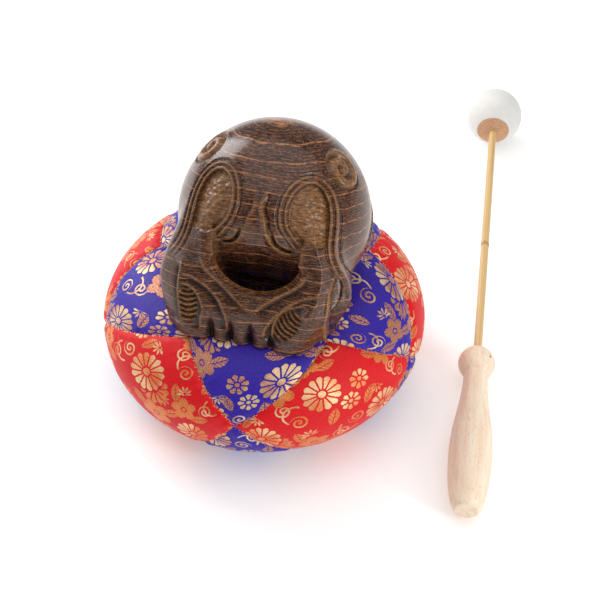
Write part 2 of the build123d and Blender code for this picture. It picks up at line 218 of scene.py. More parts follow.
class Graph:
    """The shader nodes of one material, wired by plain calls."""

    def __init__(self, name):
        self.material = bpy.data.materials.new(name)
        self.material.use_nodes = True
        self.tree = self.material.node_tree
        self.shader = self.tree.nodes["Principled BSDF"]

    def feed(self, socket, value):
        """Link a field to a socket, or set a plain value on it."""
        if isinstance(value, Field):
            self.tree.links.new(value.socket, socket)
        else:
            socket.default_value = value

    def node(self, kind, inputs, output=0, **settings):
        """Field from one output of a new node."""
        made = self.tree.nodes.new(kind)
        for name, value in settings.items():
            setattr(made, name, value)
        for name, value in inputs.items():
            self.feed(made.inputs[name], value)
        return Field(self, made.outputs[output])

    def math(self, operation, *values):
        return self.node("ShaderNodeMath", dict(enumerate(values)), operation=operation)

    def mix(self, share, first, second):
        """Colour between two colours."""
        return self.node("ShaderNodeMix", {0: share, 6: first, 7: second}, 2, data_type="RGBA")

    def split(self, vector):
        first = self.node("ShaderNodeSeparateXYZ", {0: vector})
        return [Field(self, socket) for socket in first.socket.node.outputs]

    def join(self, x, y, z):
        return self.node("ShaderNodeCombineXYZ", {0: x, 1: y, 2: z})

    def place(self):
        """Place on the object in millimetres, as three fields."""
        return [part * (1 / MM) for part in self.split(self.node("ShaderNodeTexCoord", {}, "Object"))]

    def along(self, place, direction):
        """Distance of a place along a direction."""
        x, y, z = (part * share for part, share in zip(place, direction))
        return x + y + z

    def attribute(self, name):
        return self.node("ShaderNodeAttribute", {}, "Fac", attribute_name=name)

    def noise(self, vector, scale, detail=2.0, roughness=0.5):
        inputs = {"Vector": vector, "Scale": scale, "Detail": detail, "Roughness": roughness}
        return self.node("ShaderNodeTexNoise", inputs)

    def bump(self, height, depth):
        """Surface normal from a height field, with its depth in millimetres."""
        return self.node("ShaderNodeBump", {"Height": height, "Strength": 1.0, "Distance": depth * MM})

    def finish(self, colour, roughness, **rest):
        """Feed the surface shader; the rest go on the sockets that they name."""
        for name, value in {"base_color": colour, "roughness": roughness, **rest}.items():
            self.feed(self.shader.inputs[name.replace("_", " ").title().replace("Ior", "IOR")], value)
        return self.material


def add_object(name, data):
    made = bpy.data.objects.new(name, data)
    bpy.context.scene.collection.objects.link(made)
    return made


def new_piece(name, points, faces, material, body, nodes):
    """A mesh piece from points in millimetres, riding on a body and standing for CAD nodes."""
    mesh = bpy.data.meshes.new(name)
    mesh.from_pydata((np.asarray(points) * MM).tolist(), [], faces)
    mesh.materials.append(material)
    mesh.shade_smooth()
    piece = add_object(name, mesh)
    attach(piece, body)
    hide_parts(*nodes)
    return piece


def set_attribute(piece, name, values):
    """A number at each point of a piece, for its material."""
    attribute = piece.data.attributes.new(name, "FLOAT", "POINT")
    attribute.data.foreach_set("value", np.asarray(values, np.float32))


# Fish: the carved form as a distance field, in millimetres from the middle of its base


def smooth_min(first, second, reach):
    """The lesser of two distances, blended where they are within reach of each other."""
    share = np.clip(0.5 + 0.5 * (second - first) / reach, 0, 1)
    return second * (1 - share) + first * share - reach * share * (1 - share)


def smooth_max(first, second, reach):
    return -smooth_min(-first, -second, reach)


def smooth_rise(value, low, high):
    share = np.clip((value - low) / (high - low), 0, 1)
    return share * share * (3 - 2 * share)


def plane_distance(x, y, z, normal, point):
    length = math.sqrt(sum(part * part for part in normal))
    return sum((axis - at) * part / length for axis, at, part in zip((x, y, z), point, normal))


def ball_distance(x, y, z, centre, radius):
    return np.sqrt(sum((axis - at) ** 2 for axis, at in zip((x, y, z), centre))) - radius


def oval_distance(across, along, half_width, half_depth):
    """Distance to an oval, exact near its rim."""
    reach = np.sqrt((across / half_width) ** 2 + (along / half_depth) ** 2)
    slope = np.sqrt((across / half_width**2) ** 2 + (along / half_depth**2) ** 2) + 1e-9
    return reach * (reach - 1) / slope


def fish_outside(x, y, z):
    """Dome with its arms and bar, before any carving."""
    side = np.abs(x)
    cheek_side = np.where(x < 0, side - LEFT_CHEEK_SWELL, side)
    arms = plane_distance(side, y, z, *LOWER_FRONT)
    arms = smooth_max(arms, plane_distance(side, y, z, *UPPER_FRONT), ARM_BLEND)
    corner = np.maximum(plane_distance(x, y, z, *LEFT_FOOT), plane_distance(x, y, z, *RIGHT_FOOT))
    corner = smooth_max(corner, plane_distance(cheek_side, y, z, *UPPER_CORNER), ARM_EDGE)
    left_flank = plane_distance(side, y, z, *LEFT_FLANK)
    right_flank = plane_distance(side, y, z, *RIGHT_FLANK)
    flank = np.where(x < 0, left_flank, right_flank)
    flank = smooth_max(flank, plane_distance(cheek_side, y, z, *UPPER_FLANK), ARM_EDGE)
    for side_face in (corner, flank, y - ARM_END):
        arms = smooth_max(arms, side_face, ARM_BLEND)
    arms = smooth_max(arms, ball_distance(x, y, z, SHOULDER_CENTRE, SHOULDER_RADIUS), SHOULDER_BLEND)
    return smooth_min(ball_distance(x, y, z, DOME_CENTRE, DOME_RADIUS), arms, DOME_BLEND)


def slit_frame(y, z):
    """Run along the slit's plane from its front, and height above that plane."""
    return turned(y + SLIT_FRONT_REACH, z - SLIT_FRONT_HEIGHT, SLIT_TILT)


SLIT_END_RUN = (SLIT_FRONT_REACH + SLIT_END_BACK) / math.cos(SLIT_TILT)
SLIT_END_LEVEL = SLIT_FRONT_HEIGHT + (SLIT_FRONT_REACH + SLIT_END_BACK) * math.tan(SLIT_TILT)


def slit_end_reach(y, z):
    """Distance from the axis of the round holes that end the slit."""
    return np.sqrt((y - SLIT_END_BACK) ** 2 + (z - SLIT_END_LEVEL) ** 2)


def slit_lips(x, y, z):
    """Raised border round the slit on the back and flanks."""
    run, rise = slit_frame(y, z)
    border = SLIT_HEIGHT / 2 + LIP_WIDTH
    band = smooth_max(np.abs(rise) - border, SLIT_END_RUN - run, 1)
    band = np.minimum(band, slit_end_reach(y, z) - border)
    return smooth_max(band, ball_distance(x, y, z, DOME_CENTRE, DOME_RADIUS + LIP_RISE), 1.5)


def fish_hollows(x, y, z):
    """Distances, negative inside: the finger hole, that hole without its back wall, the back wall,
    and the cavity with its slit."""
    back = turned(y + HOLE_CENTRE_REACH, z - HOLE_CENTRE_HEIGHT, HOLE_TILT)[0] - HOLE_DEPTH / 2
    sides = np.abs(x - HOLE_MIDDLE) - HOLE_HALF_WIDTH
    front = oval_distance(x - HOLE_MIDDLE, back, HOLE_HALF_WIDTH, HOLE_DEPTH)
    channel = np.where(back < 0, front, sides)
    hole = smooth_max(channel, back, HOLE_CORNER)
    shares = [(axis - at) / half for axis, at, half in zip((x, y, z), CAVITY_CENTRE, CAVITY_HALF_SIZE)]
    cavity = (np.sqrt(sum(share * share for share in shares)) - 1) * min(CAVITY_HALF_SIZE)
    run, rise = slit_frame(y, z)
    cut = np.abs(rise) - SLIT_HEIGHT / 2
    saw = np.maximum(cut, SLIT_END_RUN - run)
    throat = np.maximum(np.maximum(cut, -run), np.abs(x) - SLIT_THROAT_WIDTH / 2)
    ends = slit_end_reach(y, z) - SLIT_END_RADIUS
    return hole, channel, back, np.minimum(np.minimum(cavity, saw), np.minimum(throat, ends))


# Fish carving: a relief over a chart of the front, seen from above and in front.
# Across is the distance to the right of the fish's middle, and up runs along the face.

CHART_TILT = math.radians(46.0)
CHART_STEP = 0.25
CHART_HALF_WIDTH = 62.0
CHART_LOW = -82.0
CHART_HIGH = 46.0
CARVING_MIDDLE = 1.5

# Lines on both sides of the middle
EYE_RIM = [
    (23.5, -19), (18.5, -14), (14.2, -8.5), (12.6, -2), (13, 5), (15.4, 11.7), (19.6, 16.8), (24.5, 18.4),
    (29.6, 16.4), (34, 11), (36.8, 3), (37.8, -5), (38.6, -14), (40.6, -21), (44.5, -27.5), (49, -32.5),
]
EYE_RIM_OVAL = slice(0, 13)
BROW_LINE = [(6, 11), (3, 5), (2, -0.5), (4.4, -7), (6, -13), (9.6, -18.4), (15, -21.4), (21, -20)]
BROW_HOOK = [(21, -19.5), (16, -19.8), (11, -18), (8.8, -14), (8.2, -8)]
LIP_LINE = [(3, -54), (8, -50), (14.5, -45), (21, -40.5), (26.5, -36), (29, -30)]
JAW_LINE = [(12.8, -68), (13.2, -62), (14.8, -57), (18.5, -51), (25, -45.5), (32, -42.5), (40, -41)]
CHEEK_LINE = [(38.5, -68), (40, -58), (41, -50), (41, -41), (40, -33)]

# Lines that differ from side to side
CHEEK_FACET = [(43.3, -27), (47.3, -30.5), (47.8, -39), (44.5, -47), (42.3, -46), (42, -35)]
LEFT_RIDGE = [(-27, -12), (-26.5, -20), (-26, -28), (-25, -34), (-24, -40), (-25, -47)]
RIGHT_RIDGE = [
    (28, -5.5), (32, -13), (34.4, -19.5), (37.2, -27), (37.6, -35), (36, -45), (32, -53), (27, -60),
]
LEFT_GILL = [(-26, -70), (-26, -63), (-25, -57), (-28.6, -50), (-33, -47.2), (-39, -46)]
RIGHT_GILL = [(9.5, -69), (11, -63), (15, -56), (21, -51), (27, -48), (32.5, -47)]

# Eyes and their chisel chips
EYE_SINK = 2.4
EYE_WALL = (2.4, 3.4)
EYE_SWELL = 1.0
EYE_SWELL_RUN = (3, 13)
EYE_FADE = (-24, -8)
CHIP_RISE = 1.0
CHIP_SEED = 4
CHIP_LEVELS = np.arange(-24, 22, 2.4)
CHIP_PITCH = 4.4
CHIP_STARTS = np.arange(8, 42, CHIP_PITCH)
CHIP_STRAY = (1.2, 0.9)
CHIP_HALF_SIZE = (3.0, 1.8)

# Gills, pearl, teeth and volutes
GILL_FANS = ((-33.0, -56.5, 6.0), (22.0, -58.5, -38.0))
GILL_HALF_SIZE = (6.2, 10.5)
GILL_PITCH = 2.7
GILL_SAG = 2.2
GILL_DEPTH = 1.7
PEARL_PLACE = (-2.4, -50.5)
PEARL_RADIUS = 3.2
PEARL_RISE = 1.8
PEARL_MOAT = PEARL_RADIUS + 0.5
TOOTH_GAPS = (-19.7, -9.0, 2.0, 13.0)
TOOTH_GAP_DEPTH = 4.0
TOOTH_GAP_WIDTH = 1.8
TOOTH_GAP_RUN = (57, 70)
CURL_HEADING = Vector((0.68, 0.05, 0.73)).normalized()
CURL_RADIUS = 12.5
CURL_TURNS = 1.2
CURL_DEPTH = 2.8
CURL_RISE = 0.6

# Sections across the lines: each cut has a depth, an offset from the line and a width, and a
# crest has a negative depth. The bare ones say where the wood is cut lighter, and how far.
RIM_SECTION = ((0.9, 0.0, 0.9), (1.0, 2.8, 1.0), (-0.6, 1.4, 1.4))
RIM_BARE = ((0.7, 1.4, 1.3),)
BROW_SECTION = ((1.5, 1.4, 1.3), (-1.2, -0.6, 2.2))
BROW_BARE = ((0.9, -0.5, 1.8),)
BROW_HOLLOW = 0.9
BROW_HOLLOW_RUN = 5.0
LEFT_BROW_SHARE = 0.5
HOOK_SECTION = ((1.2, 0.0, 1.2), (-0.6, 1.4, 1.0))
HOOK_BARE = ((0.8, 1.4, 1.2),)
LEFT_RIDGE_SECTION = ((-1.4, 0.0, 9.0), (-0.4, 0.0, 3.2))
RIGHT_RIDGE_SECTION = ((-1.4, 0.0, 9.0), (-1.3, 0.0, 3.2))
STEP_DEPTH = 1.8
STEP_RUN = 4.0
STEP_CREST = ((-0.7, -0.8, 1.1),)
STEP_BARE = ((0.9, -0.6, 1.2),)
MOAT_SECTION = ((1.0, PEARL_MOAT, 1.2),)
MOAT_BARE = ((0.5, PEARL_MOAT, 1.6),)


def smooth_curve(points, steps=8):
    """Points along a smooth curve through the given ones."""
    ends = [2 * np.array(points[0]) - points[1], 2 * np.array(points[-1]) - points[-2]]
    control = np.array([ends[0], *points, ends[1]], float)
    share = np.linspace(0, 1, steps, endpoint=False)[:, None]
    stretches = []
    for before, start, end, after in zip(control, control[1:], control[2:], control[3:]):
        cubic = 3 * (start - end) + after - before
        square = 2 * before - 5 * start + 4 * end - after
        stretches.append(start + 0.5 * share * (end - before + share * (square + share * cubic)))
    return np.vstack([*stretches, control[-2]])


def curve_distance(across, up, points):
    """Signed distance of every chart place from a smooth curve, positive to the left of its run,
    and the share of the curve's run at its nearest point."""
    curve = smooth_curve(points)
    stations = np.linspace(0, 1, len(curve))
    signed = np.full(across.shape, 1e3)
    station = np.zeros(across.shape)
    for start, end, start_station in zip(curve, curve[1:], stations):
        run = end - start
        away_across = across - start[0]
        away_up = up - start[1]
        share = np.clip((away_across * run[0] + away_up * run[1]) / (run @ run), 0, 1)
        distance = np.hypot(away_across - share * run[0], away_up - share * run[1])
        left = np.where(run[0] * away_up - run[1] * away_across > 0, 1, -1)
        closer = distance < np.abs(signed)
        signed = np.where(closer, distance * left, signed)
        station = np.where(closer, start_station + share * stations[1], station)
    return signed, station


def inside_outline(across, up, outline):
    """Whether each chart place is inside a closed outline."""
    inside = np.zeros(across.shape, bool)
    for (first_across, first_up), (next_across, next_up) in zip(outline, np.roll(outline, -1, axis=0)):
        crosses = (first_up > up) != (next_up > up)
        rise = next_up - first_up if next_up != first_up else 1e-9
        inside ^= crosses & (across < first_across + (up - first_up) * (next_across - first_across) / rise)
    return inside


def section_depth(distance, section):
    """Depth of a section at a distance from its line."""
    return sum(
        depth * np.exp(-(((distance - offset) / (0.6 * width)) ** 2)) for depth, offset, width in section
    )


def gouge_marks(across, up):
    """Overlapping chisel chips, wider than high, from 0 to 1."""
    draw = np.random.default_rng(CHIP_SEED)
    tops = np.zeros(across.shape)
    for row, level in enumerate(CHIP_LEVELS):
        for start in CHIP_STARTS + CHIP_PITCH / 2 * (row % 2):
            chip_across = start + draw.uniform(-CHIP_STRAY[0], CHIP_STRAY[0])
            chip_up = level + draw.uniform(-CHIP_STRAY[1], CHIP_STRAY[1])
            near = np.hypot((across - chip_across) / CHIP_HALF_SIZE[0], (up - chip_up) / CHIP_HALF_SIZE[1])
            tops = np.maximum(tops, 1 - near)
    return tops


class Relief:
    """The carving over the chart: its depth, how far it bares lighter wood, and the flat facet."""

    def __init__(self):
        spread = np.arange(-CHART_HALF_WIDTH, CHART_HALF_WIDTH, CHART_STEP)
        rows = np.arange(CHART_LOW, CHART_HIGH, CHART_STEP)
        self.across, self.up = np.meshgrid(spread, rows, indexing="ij")
        self.mirrored = np.abs(self.across - CARVING_MIDDLE)
        self.depth = np.zeros(self.up.shape)
        self.bare = np.zeros(self.up.shape)
        self.carve_eyes()
        self.carve_nose()
        self.carve_limbs()
        self.carve_steps()
        self.carve_gills()
        self.carve_pearl()
        self.carve_teeth()
        self.carve_facet()

    def cut(self, depth, bare=0.0):
        """Deepen the carving, and bare the wood at least so far."""
        self.depth += depth
        self.bare = np.maximum(self.bare, bare)

    def line(self, across, points, start, end):
        """Signed distance from a line, and its strength, which runs out at each end."""
        signed, station = curve_distance(across, self.up, points)
        return signed, smooth_rise(station, 0, start) * smooth_rise(1 - station, 0, end)

    def stroke(self, distance, strength, section, bare=()):
        """Carve a section along a line."""
        self.cut(strength * section_depth(distance, section), strength * section_depth(distance, bare))

    def carve_eyes(self):
        """Sunk ovals with chisel chips, each inside a bead between two grooves."""
        rim, strength = self.line(self.mirrored, EYE_RIM, 0.04, 0.10)
        rim = np.abs(rim)
        oval = inside_outline(self.mirrored, self.up, smooth_curve(EYE_RIM[EYE_RIM_OVAL]))
        sunk = np.where(oval, smooth_rise(rim, *EYE_WALL), 0) * smooth_rise(self.up, *EYE_FADE)
        chips = gouge_marks(self.mirrored, self.up)
        floor = EYE_SINK - EYE_SWELL * smooth_rise(rim, *EYE_SWELL_RUN) - CHIP_RISE * chips
        self.cut(sunk * floor, sunk * (0.95 - 0.35 * chips))
        self.stroke(rim, strength, RIM_SECTION, RIM_BARE)

    def carve_nose(self):
        """The nose lies hollow between two brow crests, each with a groove on its outer side."""
        brow, strength = self.line(self.mirrored, BROW_LINE, 0.3, 0.3)
        strength = strength * np.where(self.across > CARVING_MIDDLE, 1.0, LEFT_BROW_SHARE)
        self.stroke(brow, strength, BROW_SECTION, BROW_BARE)
        hollow = smooth_rise(-brow, 1.5, 4) * np.exp(-np.abs(brow) / BROW_HOLLOW_RUN)
        self.cut(strength * BROW_HOLLOW * hollow)
        hook, strength = self.line(self.mirrored, BROW_HOOK, 0.2, 0.3)
        self.stroke(np.abs(hook), strength, HOOK_SECTION, HOOK_BARE)

    def carve_limbs(self):
        """A ridge down each arm, sharper on the right."""
        for points, section in ((LEFT_RIDGE, LEFT_RIDGE_SECTION), (RIGHT_RIDGE, RIGHT_RIDGE_SECTION)):
            self.stroke(*self.line(self.across, points, 0.2, 0.2), section)

    def carve_steps(self):
        """Lips, jaws, cheeks and gill covers: steep steps that rise again over a run below them."""
        steps = [(self.mirrored, points, -1) for points in (LIP_LINE, JAW_LINE, CHEEK_LINE)]
        steps += [(self.across, RIGHT_GILL, -1), (self.across, LEFT_GILL, 1)]
        for across, points, low_side in steps:
            signed, strength = self.line(across, points, 0.1, 0.15)
            below = signed * low_side
            step = smooth_rise(below, -0.3, 0.5) * np.exp(-np.maximum(below, 0) / STEP_RUN)
            self.cut(strength * STEP_DEPTH * step)
            self.stroke(below, strength, STEP_CREST, STEP_BARE)

    def carve_gills(self):
        """An oval fan of sagging ribs on each arm."""
        half_width, half_height = GILL_HALF_SIZE
        for middle, level, turn in GILL_FANS:
            gill_across, gill_up = turned(self.across - middle, self.up - level, math.radians(turn))
            gill_across = gill_across / half_width
            gill_up = gill_up / half_height
            gill = smooth_rise(1 - np.hypot(gill_across, gill_up), 0, 0.2)
            wave = gill_up * half_height - GILL_SAG * gill_across**2
            ribs = 0.5 + 0.5 * np.cos(2 * math.pi * wave / GILL_PITCH)
            self.cut(gill * GILL_DEPTH * (1 - ribs), gill * 0.9 * ribs)

    def carve_pearl(self):
        """A half ball in a moat, on the bar."""
        reach = np.hypot(self.across - PEARL_PLACE[0], self.up - PEARL_PLACE[1])
        self.cut(-PEARL_RISE * np.sqrt(np.clip(1 - (reach / PEARL_RADIUS) ** 2, 0, 1)))
        self.stroke(reach, 1.0, MOAT_SECTION, MOAT_BARE)

    def carve_teeth(self):
        """Gaps between the teeth, deeper towards the base."""
        for gap in TOOTH_GAPS:
            depth = TOOTH_GAP_DEPTH * np.exp(-np.abs(self.across - gap) / TOOTH_GAP_WIDTH)
            self.cut(smooth_rise(-self.up, *TOOTH_GAP_RUN) * depth)

    def carve_facet(self):
        """The flat facet has no other carving, and its edge is worn lighter."""
        inside = inside_outline(self.across, self.up, np.array(CHEEK_FACET))
        edge = np.abs(curve_distance(self.across, self.up, CHEEK_FACET + CHEEK_FACET[:1])[0])
        self.bare = np.where(inside, 0.5 * (1 - smooth_rise(edge, 0.4, 1.4)), self.bare)
        self.depth *= 1 - inside
        self.facet = np.where(inside, smooth_rise(edge, 0, 0.8), 0)


def curl_relief(x, y, z):
    """Volute on the dome beyond each eye, as depth and bareness."""
    right = Vector((0, 0, 1)).cross(CURL_HEADING).normalized()
    top = CURL_HEADING.cross(right)
    offset = [np.abs(x - CARVING_MIDDLE), y, z - DOME_CENTRE_HEIGHT]
    first, second, facing = (
        sum(part * share for part, share in zip(offset, axis)) for axis in (right, top, CURL_HEADING)
    )
    reach = np.hypot(first, second)
    turn = np.arctan2(second, first) / (2 * math.pi)
    phase = reach * (CURL_TURNS + 0.5) / CURL_RADIUS - turn
    hollow = (0.5 + 0.5 * np.cos(2 * math.pi * phase)) ** 2
    inside = smooth_rise(CURL_RADIUS - reach, 0, 1.4) * (facing > 0)
    return inside * (CURL_DEPTH * hollow - CURL_RISE), inside * (0.9 - 0.6 * hollow)


def sample_chart(chart, across, up):
    """Chart values between its points."""
    column = np.clip((across + CHART_HALF_WIDTH) / CHART_STEP, 0, chart.shape[0] - 1.001)
    row = np.clip((up - CHART_LOW) / CHART_STEP, 0, chart.shape[1] - 1.001)
    first = column.astype(int)
    second = row.astype(int)
    share = column - first
    rise = row - second
    low = chart[first, second] * (1 - share) + chart[first + 1, second] * share
    high = chart[first, second + 1] * (1 - share) + chart[first + 1, second + 1] * share
    return low * (1 - rise) + high * rise


def chart_place(y, z):
    """How far up the chart a place on the fish is, and how far behind it."""
    return turned(z - DOME_CENTRE_HEIGHT, y, CHART_TILT)


def carving_at(x, y, z, relief):
    """Depth and bareness of the carving near the fish's surface."""
    up, behind = chart_place(y, z)
    front = smooth_rise(-behind, -2, 6)
    curl_depth, curl_bare = curl_relief(x, y, z)
    depth = front * sample_chart(relief.depth, x, up) + curl_depth
    return depth, np.maximum(front * sample_chart(relief.bare, x, up), curl_bare)


def fish_field(relief):
    """Distances from the carved fish's skin at every voxel, negative in the wood."""
    counts = ((FISH_HIGH - FISH_LOW) / VOXEL).astype(int) + 1
    axes = [FISH_LOW[k] + VOXEL * np.arange(counts[k], dtype=np.float32) for k in range(3)]
    x, y, z = np.meshgrid(*axes, indexing="ij", sparse=True)
    form = smooth_min(fish_outside(x, y, z), slit_lips(x, y, z), LIP_BLEND)

    # The finger hole has a bevel at its front and sides, and the brow rolls over into it between them
    hole, channel, back, hollow = fish_hollows(x, y, z)
    brow = smooth_max(form, -back, BROW_EDGE + BROW_ROLL * smooth_rise(z, *BROW_ROLL_HEIGHTS))
    bevel = HOLE_BEVEL - 20 * (smooth_rise(z, *HOLE_BEVEL_HEIGHTS) + smooth_rise(back, -3, 5))
    form = np.maximum(form, (form - channel + bevel) * math.sqrt(0.5))
    form = np.maximum(form, -smooth_max(channel, -brow, 3))

    # Only the skin outside the hole is carved
    near = np.nonzero(np.abs(form) < 6)
    spots = [axes[k][near[k]] for k in range(3)]
    form[near] += smooth_rise(hole[near], 0, 1.5) * carving_at(*spots, relief)[0]
    facet_share = sample_chart(relief.facet, spots[0], chart_place(*spots[1:])[0])
    facet = plane_distance(*spots, *CHEEK_FACET_PLANE) - 8 * (1 - facet_share)
    form[near] = np.maximum(form[near], facet)
    return smooth_max(smooth_max(form, -z, BASE_EDGE), -hollow, 1.0)


def sculpt_fish(material):
    """The carved fish as one closed mesh, marked where its wood is bare, and where its grooves get stain
    and painted shade.
    """
    relief = Relief()
    band = 3 * VOXEL
    grid = openvdb.FloatGrid(band)
    grid.copyFromArray(np.clip(fish_field(relief), -band, band).astype(np.float32))
    points, triangles, quads = grid.convertToPolygons(0.0, 0.0)
    points = FISH_LOW + points * VOXEL + FISH_PLACE
    faces = [face[::-1].tolist() for face in (*triangles, *quads)]
    piece = new_piece("carved_fish", points, faces, material, "fish", ["fish_body"])
    thin_out(piece, FISH_TRIANGLES)

    places = np.empty(3 * len(piece.data.vertices), np.float32)
    piece.data.vertices.foreach_get("co", places)
    local = places.reshape(-1, 3) / MM - FISH_PLACE
    outside = np.abs(fish_outside(*local.T)) < 8
    at_hole = np.exp(-((fish_hollows(*local.T)[1] / 2.0) ** 2)) * outside * (local[:, 1] < -38)
    depth, bare = carving_at(*local.T, relief)
    set_attribute(piece, "bare_wood", np.maximum(np.where(outside, bare, 0), 0.5 * at_hole))
    # The groove mark darkens the carving's recesses in the colour: partly stain gathered there, partly
    # painted shade
    set_attribute(piece, "groove", np.where(outside, smooth_rise(depth, 0.4, 1.6) * (1 - bare), 0))


def thin_out(piece, triangles):
    """Merge small faces until a mesh has at most that many triangles."""
    full = piece.data
    full.calc_loop_triangles()
    thinner = piece.modifiers.new("thinner", "DECIMATE")
    thinner.ratio = min(1.0, triangles / len(full.loop_triangles))
    graph = bpy.context.evaluated_depsgraph_get()
    piece.data = bpy.data.meshes.new_from_object(piece.evaluated_get(graph))
    piece.modifiers.clear()
    bpy.data.meshes.remove(full)
    piece.data.name = piece.name
    piece.data.shade_smooth()


# Cushion: each patch follows the seams of its solid, puffs up a little and draws in at its seams


def polar_point(radius, angle, height):
    turn = math.radians(angle)
    return np.array([radius * math.cos(turn), radius * math.sin(turn), height])


def cushion_skin(directions):
    """Where rays from the cushion's heart meet its skin, as places from that heart."""
    level = np.hypot(directions[..., 0], directions[..., 1])
    rise = directions[..., 2]
    half = np.where(rise > 0, CUSHION_HEIGHT - EQUATOR_HEIGHT, EQUATOR_HEIGHT)
    depth = CUSHION_RADIUS - CROWN_RADIUS
    square = (level / depth) ** 2 + (rise / half) ** 2
    linear = -2 * level * CROWN_RADIUS / depth**2
    plain = (CROWN_RADIUS / depth) ** 2 - 1
    reach = (-linear + np.sqrt(np.maximum(linear**2 - 4 * square * plain, 0))) / (2 * square)
    flat = half / np.maximum(np.abs(rise), 1e-9)
    reach = np.where(flat * level <= CROWN_RADIUS, flat, reach)
    return directions * reach[..., None]


def patch_corners(kind, index):
    """Four corners of a patch from the cushion's heart, the tip first."""
    upper = CUSHION_HEIGHT - EQUATOR_HEIGHT
    lower = -EQUATOR_HEIGHT
    out = (SEAM_POINT_RADIUS - CROWN_RADIUS) / (CUSHION_RADIUS - CROWN_RADIUS)
    share = math.sqrt(1 - out**2)
    turn = 360 / PATCH_COUNT

    def seam(k, level):
        return polar_point(SEAM_POINT_RADIUS, SEAM_POINT_ANGLE + turn * k, level * share)

    def apex(k):
        return polar_point(CUSHION_RADIUS, SEAM_APEX_ANGLE + turn * k, SEAM_APEX_RISE)

    if kind == "side":
        return [seam(index, upper), apex(index), seam(index, lower), apex(index - 1)]
    level = upper if kind == "top" else lower
    return [np.array([0, 0, level]), seam(index, level), apex(index), seam(index + 1, level)]


def blend_corners(corners, first, second):
    """Places between four corners, by two shares."""
    near = (1 - first) * (1 - second)
    weights = [near, first * (1 - second), first * second, (1 - first) * second]
    return sum(weight[..., None] * corner for weight, corner in zip(weights, corners))


def cloth_corners(skin):
    """The patch's corners as it is cut, flat on the table, in millimetres."""

    def run(points):
        return np.linalg.norm(np.diff(points, axis=0), axis=1).sum()

    steps = np.arange(PATCH_STEPS + 1)
    middle = PATCH_STEPS // 2
    half_span = run(skin[steps, steps[::-1]]) / 2
    spine = skin[steps, steps]
    upper = run(spine[: middle + 1])
    lower = run(spine[middle:])
    return np.array([(0, upper), (half_span, 0), (0, -lower), (-half_span, 0)])


def patch_normals(skin):
    """Outward directions over a patch's grid."""
    cross = np.cross(np.gradient(skin, axis=0), np.gradient(skin, axis=1))
    cross /= np.maximum(np.linalg.norm(cross, axis=-1, keepdims=True), 1e-9)
    return cross * np.sign((cross * skin).sum(axis=-1, keepdims=True))


def edge_distance(skin):
    """Distance of each grid point from the patch's seams."""
    border = np.vstack([skin[0], skin[-1], skin[:, 0], skin[:, -1]])
    return np.min([np.linalg.norm(skin - point, axis=-1) for point in border], axis=0)


def patch_lift(first, second, edge, index):
    """How far the cloth stands off the skin, with its drawn seams, its swell and its tucks."""
    along = np.where(np.minimum(first, 1 - first) < np.minimum(second, 1 - second), second, first)
    turn = along * 2 * math.pi
    tucks = np.sin(turn * BROAD_TUCKS + 2.1 * index) + 0.6 * np.sin(turn * NARROW_TUCKS + index)
    lift = CLOTH_SWELL * (1 - np.exp(-edge / CLOTH_SWELL_RUN))
    lift -= SEAM_DRAW * np.exp(-((edge / SEAM_DRAW_WIDTH) ** 2))
    return lift + TUCK_RISE * tucks * np.exp(-edge / TUCK_RUN) * (1 - np.exp(-edge / TUCK_START))


def cloth_faces(outward):
    """Faces of a closed cloth whose outer grid of points comes before its inner one."""
    last = PATCH_STEPS
    side = last + 1
    layer = side * side
    faces = []
    for i in range(last):
        for j in range(last):
            quad = [i * side + j, (i + 1) * side + j, (i + 1) * side + j + 1, i * side + j + 1]
            faces.append(quad)
            faces.append([corner + layer for corner in quad[::-1]])
    ring = list(range(last)) + [i * side + last for i in range(last)]
    ring += [last * side + j for j in range(last, 0, -1)] + [i * side for i in range(last, 0, -1)]
    for start, end in zip(ring, ring[1:] + ring[:1]):
        faces.append([start, end, end + layer, start + layer])
    return faces if outward else [face[::-1] for face in faces]


def lay_weave(piece, cut):
    """Lay the weave on a cloth as it lies in its flat cut, in millimetres."""
    layer = piece.data.uv_layers.new(name="weave")
    corner_points = np.empty(len(piece.data.loops), np.int32)
    piece.data.loops.foreach_get("vertex_index", corner_points)
    places = np.tile(cut.reshape(-1, 2), (2, 1))[corner_points]
    layer.data.foreach_set("uv", places.astype(np.float32).ravel())


def cushion_patch(kind, index, material):
    """One brocade patch as a closed thin cloth."""
    share = np.linspace(0, 1, PATCH_STEPS + 1)
    first, second = np.meshgrid(share, share, indexing="ij")
    skin = cushion_skin(blend_corners(patch_corners(kind, index), first, second))
    edge = edge_distance(skin)
    normals = patch_normals(skin)
    outer = skin + normals * patch_lift(first, second, edge, index)[..., None]
    inner = outer - normals * CLOTH_THICKNESS
    points = np.vstack([outer.reshape(-1, 3), inner.reshape(-1, 3)]) + [0, 0, EQUATOR_HEIGHT]
    points[:, 2] = np.clip(points[:, 2], FLOOR_CLEARANCE, CUSHION_HEIGHT - FISH_CLEARANCE)
    outward = np.cross(skin[1, 0] - skin[0, 0], skin[0, 1] - skin[0, 0]) @ skin[0, 0] > 0
    name = f"brocade_{kind}_{index + 1}"
    node = f"{kind}_patch_{index + 1}"
    piece = new_piece(name, points, cloth_faces(outward), material, "cushion", [node])
    set_attribute(piece, "seam_distance", np.tile(edge.ravel(), 2))
    flat_corners = cloth_corners(skin)
    shift = PATTERN_SHIFT * index + (SIDE_PATTERN_SHIFT if kind == "side" else 0)
    lay_weave(piece, blend_corners(flat_corners, first, second) + shift)


